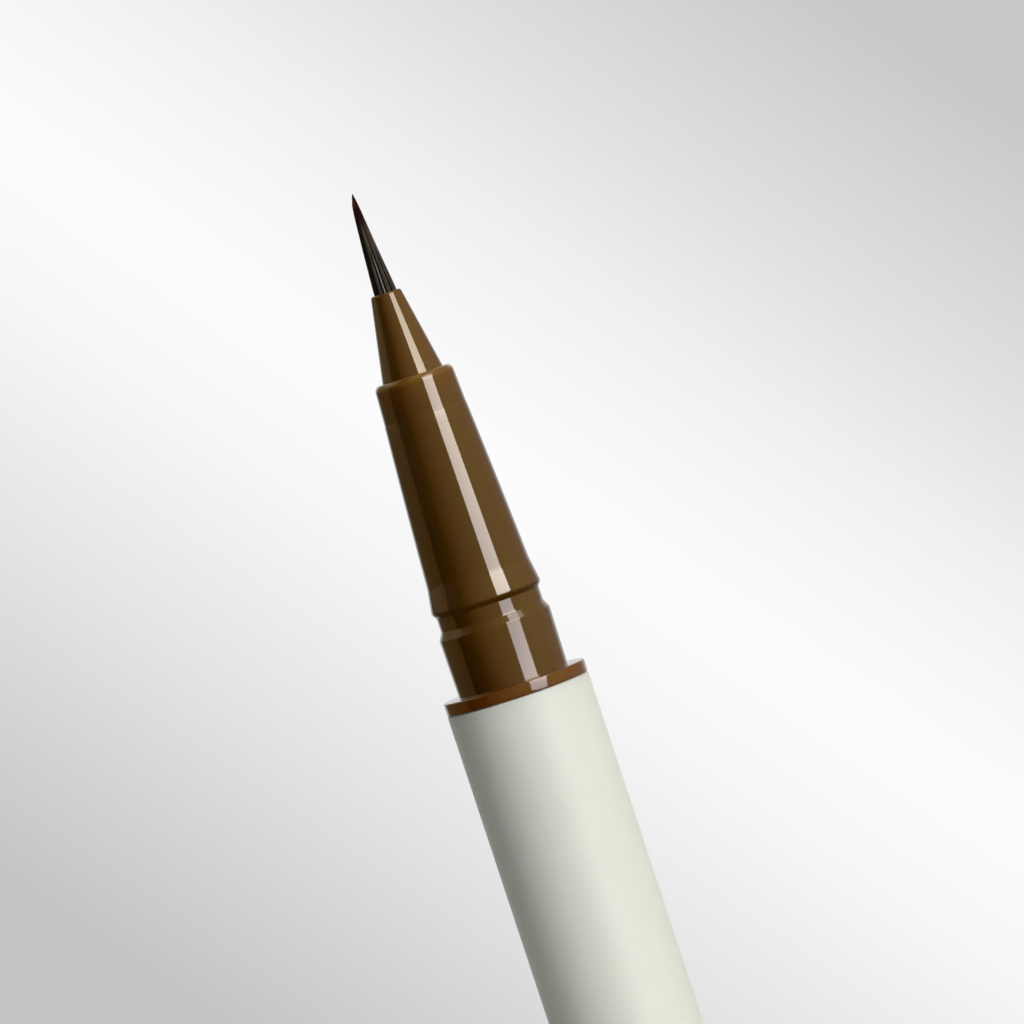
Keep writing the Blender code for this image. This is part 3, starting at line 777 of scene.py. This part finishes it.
# Bearings in degrees from the front, positive right, each with the lock that starts there.
# The lighter locks at the front and right hold painted sheen and highlight, and the sunken ones
# painted shade.
locks = [
    (-90, soaked), (-31, painted_root_sheen), (-20, parting), (-5.5, painted_highlight_streak), (0.5, painted_sheen), (1.5, furrow),
    (14.5, painted_sheen), (19, furrow), (24.5, painted_sheen), (30, furrow), (34, painted_shade_and_sheen), (42, painted_sheen),
    (47, furrow), (51, painted_sheen), (66, furrow), (73, painted_sheen), (93, soaked), (120, painted_sheen),
    (131, furrow), (150, painted_sheen), (158, soaked), (186, painted_sheen), (196, furrow), (212, painted_sheen),
    (224, soaked), (270, soaked)]


def lock_at(angle):
    """The lock that a filament belongs to, by its bearing from the front."""
    bearing = (math.degrees(angle) + 180) % 360 - 90
    return next(kind for (start, kind), (end, _) in zip(locks, locks[1:])
                if start <= bearing < end)


brush_length = brush_tip - nozzle_tip
root_depth = 0.0004
root_radius = 0.00080
narrowing_share = 0.80
closing_share = 0.14
lean_reach = 0.000105
hook_reach = 0.00007
hook_start_share, hook_length_share = 0.9, 0.1


def bundle_radius(share):
    """Half the bundle's width at a share of its length, narrowing evenly, then to a point."""
    closing = min(1, (max(1 - share, 0) / closing_share)) ** 0.5
    return root_radius * (1 - narrowing_share * share) * closing


def bundle_lean(share):
    """The bundle leans a little to one side, and its point hooks back."""
    lean = -lean_reach * math.sin(min(share / hook_start_share, 1) * math.pi / 2)
    return lean + hook_reach * max(share - hook_start_share, 0) / hook_length_share


askew = Vector((0.31, 0.77, 0.11))


def filament(maker, path, radii, sides):
    """A thin strand along a path, closed at both ends."""
    rings = []
    for index, point in enumerate(path):
        ahead = path[min(index + 1, len(path) - 1)] - path[max(index - 1, 0)]
        ahead.normalize()
        aside = ahead.cross(askew).normalized()
        rings.append(strand_ring(maker, point, radii[index], aside, ahead.cross(aside), sides))
    bridged(maker, rings)
    maker.faces.new(reversed(rings[0]))
    maker.faces.new(rings[-1])


filament_count = 640
filament_radius = 0.000030
filament_sides = 5
filament_steps = 12
thinning_share = 0.78
thinning_power = 1.5
outer_shortening_share = 0.16
shortening_share = 0.012
stray_every = 9
stray_shortening_share = 0.12
lock_twist = 0.15
twist_spread = 0.03
lock_depth_share = 0.80
packing_share = 0.965
furrow_depth_share = 0.17
golden_angle = math.pi * (3 - math.sqrt(5))
draw = random.Random(7)

bristles = bmesh.new()
for index in range(filament_count):
    place_share = math.sqrt((index + 0.5) / filament_count)
    angle = index * golden_angle
    reach = (1.0 - outer_shortening_share * place_share * draw.random()
             - shortening_share * draw.random())
    if index % stray_every == 0:
        reach -= stray_shortening_share * draw.random()
    wander = lock_twist + draw.uniform(-twist_spread, twist_spread)
    kind = lock_at(angle) if place_share > lock_depth_share else soaked
    sink = furrow_depth_share if kind in sunken_painted_shade else 0
    path, radii = [], []
    for step in range(filament_steps + 1):
        way = step / filament_steps
        share = max(0.0, way * (reach + root_depth / brush_length) - root_depth / brush_length)
        height_here = nozzle_tip - root_depth + way * (reach * brush_length + root_depth)
        turn = angle + wander * way
        radius = bundle_radius(share) * place_share * (packing_share - sink * (1 - share))
        path.append(Vector((radius * math.cos(turn) + bundle_lean(share),
                            radius * math.sin(turn), height_here)))
        radii.append(filament_radius * (1 - thinning_share * way ** thinning_power))
    faces_before = len(bristles.faces)
    filament(bristles, path, radii, filament_sides)
    bristles.faces.ensure_lookup_table()
    for face in bristles.faces[faces_before:]:
        face.material_index = sunken_painted_shade.get(kind, kind)

stem_sides = 48
stem_flange_radius = 0.0012
stem_flange_top = brush_seat - seat_gap
stem = [level_ring(bristles, radius, at, stem_sides) for radius, at in (
    (root_radius, nozzle_tip - root_depth - fine_step), (root_radius, stem_flange_top),
    (stem_flange_radius, stem_flange_top), (stem_flange_radius, brush_rear))]
bridged(bristles, stem)
bristles.faces.new(stem[0])
bristles.faces.new(stem[-1])
bmesh.ops.recalc_face_normals(bristles, faces=bristles.faces)
brush = keep_mesh("brush_filaments", bristles, hairs[soaked])
for hair in hairs[1:]:
    brush.data.materials.append(hair)
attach(brush, "pen")
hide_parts("brush_bristles")


# Camera.  A long lens a little above the pen, rolled so that the pen leans to the left.  The
# picture shows the pen down to the upper part of the barrel.

lens_length = 0.300
film_width = 0.036
lean = math.radians(18.23)
rise = math.radians(2.4)
aim = Vector((0.00348, 0, 0.1359))
stand_off = 0.5766
forward = Vector((0, math.cos(rise), -math.sin(rise)))
level_up = Vector((0, math.sin(rise), math.cos(rise)))
picture_up = level_up * math.cos(lean) + Vector((math.sin(lean), 0, 0))
picture_right = Vector((math.cos(lean), 0, 0)) - level_up * math.sin(lean)
camera = bpy.data.objects.new("camera", bpy.data.cameras.new("camera"))
camera.data.lens = lens_length * 1000
camera.data.sensor_width = film_width * 1000
camera.data.clip_start = 0.01
camera.matrix_world = Matrix.Translation(aim - forward * stand_off) @ Matrix(
    (picture_right, picture_up, -forward)).transposed().to_4x4()
bpy.context.scene.collection.objects.link(camera)
bpy.context.scene.camera = camera


# Studio.  A tall strip softbox at the right front, with a flap over its top that stands
# further right and fades out, and a broad soft light above.  The backdrop is pale and graded.
# The dim room has a dark side at the left front, and a wall at the left that brightens upwards.

lit_point = Vector((0, 0, 0.13))


def lamp(name, azimuth, elevation, roll, distance, width, height, watts, shift=(0, 0)):
    """A rectangular white lamp that faces the pen.  Azimuth 0 is at the camera, positive right.

    The shift moves it to the right and up in its own plane.
    """
    light = bpy.data.lights.new(name, "AREA")
    light.shape = "RECTANGLE"
    light.size = width
    light.size_y = height
    light.energy = watts
    body = bpy.data.objects.new(name, light)
    turn, lift = math.radians(azimuth), math.radians(elevation)
    toward = Vector((math.sin(turn) * math.cos(lift), -math.cos(turn) * math.cos(lift),
                     math.sin(lift)))
    facing = toward.to_track_quat("Z", "Y").to_matrix() @ Matrix.Rotation(roll, 3, "Z")
    middle = lit_point + toward * distance + facing @ Vector((*shift, 0))
    body.matrix_world = Matrix.Translation(middle) @ facing.to_4x4()
    body.visible_camera = False
    bpy.context.scene.collection.objects.link(body)
    return body


def shaded_cloth(body, side, stops):
    """Shade a lamp's cloth from 0 to 1 along its width, X, or its height, Y."""
    body.data.use_nodes = True
    nodes, links = body.data.node_tree.nodes, body.data.node_tree.links
    cloth = split(nodes, links, nodes.new("ShaderNodeNewGeometry").outputs["Parametric"])
    links.new(graded(nodes, links, cloth[side], 0, 1, stops), nodes["Emission"].inputs["Color"])


softbox_stand = {"azimuth": 40.3, "elevation": 22, "roll": math.radians(-8), "distance": 0.80}
softbox = lamp("key_softbox", **softbox_stand, width=0.43, height=0.89, watts=9.99,
               shift=(0, -0.085))
shaded_cloth(softbox, "Y", [
    (0.0596, (0.38, 0.40, 0.46)), (0.187, (0.42, 0.44, 0.50)), (0.2644, (0.57, 0.58, 0.61)),
    (0.343, (0.76, 0.75, 0.71)), (0.4764, (1.0, 0.99, 0.95)), (0.5657, (0.74, 0.71, 0.60)),
    (0.723, 0.56), (1.0, 0.489)])
flap = lamp("key_softbox_flap", **softbox_stand, width=0.48, height=0.17, watts=2.1,
            shift=(0.165, 0.445))
shaded_cloth(flap, "X", [(0.0, 0.44), (0.55, 0.46), (0.68, 0.20), (0.85, 0.18), (1.0, 0.03)])
top_light = lamp("top_light", azimuth=150, elevation=62, roll=0, distance=0.90, width=0.9,
                 height=0.9, watts=4.0)
top_light.visible_glossy = False

world = bpy.data.worlds.new("studio")
world.use_nodes = True
bpy.context.scene.world = world
nodes, links = world.node_tree.nodes, world.node_tree.links
look = nodes.new("ShaderNodeTexCoord").outputs["Generated"]
direction = split(nodes, links, look)


def arithmetic(operation, *values):
    """Work out a value of the room from fixed ones and ones that nodes give."""
    step = nodes.new("ShaderNodeMath")
    step.operation = operation
    for socket, value in zip(step.inputs, values):
        if isinstance(value, float):
            socket.default_value = value
        else:
            links.new(value, socket)
    return step.outputs[0]


toward_camera = arithmetic("MULTIPLY", direction["Y"], -1.0)
bearing = arithmetic("ARCTAN2", direction["X"], toward_camera)
azimuth = arithmetic("MULTIPLY", bearing, 180 / math.pi)


def round_the_room(stops):
    """A colour by the azimuth, in degrees from the camera, positive right."""
    return graded(nodes, links, azimuth, -180, 180, stops)


def up_the_room(stops):
    """A colour by how steeply a direction rises, from -1 to 1."""
    return graded(nodes, links, direction["Z"], -1, 1, stops)


reflected_room = round_the_room([
    (-180, 0.88), (-154, 0.80), (-148, (0.17, 0.13, 0.06)), (-106, (0.27, 0.15, 0.05)),
    (-89, (0.26, 0.13, 0.03)), (-84, 0.0), (-52, 0.0), (-23, (0.34, 0.19, 0.08)),
    (5, (0.47, 0.37, 0.16)), (70, (0.79, 0.62, 0.27)), (106, (0.68, 0.47, 0.24)),
    (140, (0.40, 0.32, 0.26)), (154, 0.80), (180, 0.88)])
by_height = up_the_room([
    (-0.90, 0.0), (-0.50, 0.35), (-0.25, 0.50), (-0.10, 1.0), (0.12, 1.0), (0.22, 1.22),
    (0.34, 1.15), (0.45, 1.0), (0.60, 1.1), (0.75, 1.2), (0.85, 1.6), (0.95, 1.6)])
reflected_room = blended(nodes, links, 1.0, reflected_room, by_height, "MULTIPLY")
left_wall = round_the_room([
    (-160, 0.0), (-142, (0.13, 0.13, 0.09)), (-100, (0.12, 0.11, 0.07)),
    (-60, (0.03, 0.025, 0.01)), (-20, 0.0)])
by_height = up_the_room([
    (0.03, 0.0), (0.09, 1.0), (0.34, 0.9), (0.42, 1.3), (0.52, 2.0), (0.62, 2.4), (0.70, 4.5),
    (0.80, 4.5), (0.92, 0.0)])
left_wall = blended(nodes, links, 1.0, left_wall, by_height, "MULTIPLY")
reflected_room = blended(nodes, links, 1.0, reflected_room, left_wall, "ADD")
soft_room = round_the_room([
    (-180, 0.88), (-154, 0.80), (-140, 0.33), (-95, 0.24), (-70, 0.18), (-20, 0.22),
    (20, 0.13), (60, 0.05), (100, 0.06), (140, 0.12), (154, 0.60), (180, 0.88)])
by_height = up_the_room([(-0.50, 0.1), (-0.10, 1.0), (1.0, 1.0)])
soft_room = blended(nodes, links, 1.0, soft_room, by_height, "MULTIPLY")

slant_right, slant_up = 0.561, 0.827
band_reach = 0.080
band = nodes.new("ShaderNodeVectorMath")
band.operation = "DOT_PRODUCT"
links.new(look, band.inputs[0])
band.inputs[1].default_value = picture_right * slant_right + picture_up * slant_up
backdrop = graded(nodes, links, band.outputs["Value"], -band_reach, band_reach, [
    (-0.0694, 0.546), (-0.0543, 0.640), (-0.0350, 0.776), (-0.0118, 0.923), (0.0031, 0.974),
    (0.0158, 0.923), (0.0275, 0.863), (0.0426, 0.753), (0.0702, 0.584)])

path_kind = nodes.new("ShaderNodeLightPath")
lighting = blended(nodes, links, path_kind.outputs["Is Glossy Ray"], soft_room, reflected_room)
through = arithmetic("MAXIMUM", path_kind.outputs["Is Camera Ray"],
                     path_kind.outputs["Is Transmission Ray"])
seen = blended(nodes, links, through, lighting, backdrop)
links.new(seen, nodes["Background"].inputs["Color"])

floor_radius = 0.24
fade_start, fade_end = 0.09, floor_radius - 0.01
disc = bmesh.new()
bmesh.ops.create_circle(disc, cap_ends=True, segments=96, radius=floor_radius)
paper, nodes, links, shader, place = new_finish("pale_floor")
shader.inputs["Base Color"].default_value = (0.80, 0.80, 0.79, 1)
fibres = noise(nodes, links, place, grain=0.0008, detail=4.0)
links.new(spread(nodes, links, fibres, low=0.75, high=0.9), shader.inputs["Roughness"])
from_middle = nodes.new("ShaderNodeVectorMath")
from_middle.operation = "LENGTH"
links.new(place, from_middle.inputs[0])
fade = ranged(nodes, links, from_middle.outputs["Value"], fade_start, fade_end,
              low=1.0, high=0.0, soft=True)
links.new(fade, shader.inputs["Alpha"])
floor = keep_mesh("floor", disc, paper)
floor.visible_glossy = False

bpy.context.scene.view_settings.view_transform = "Standard"
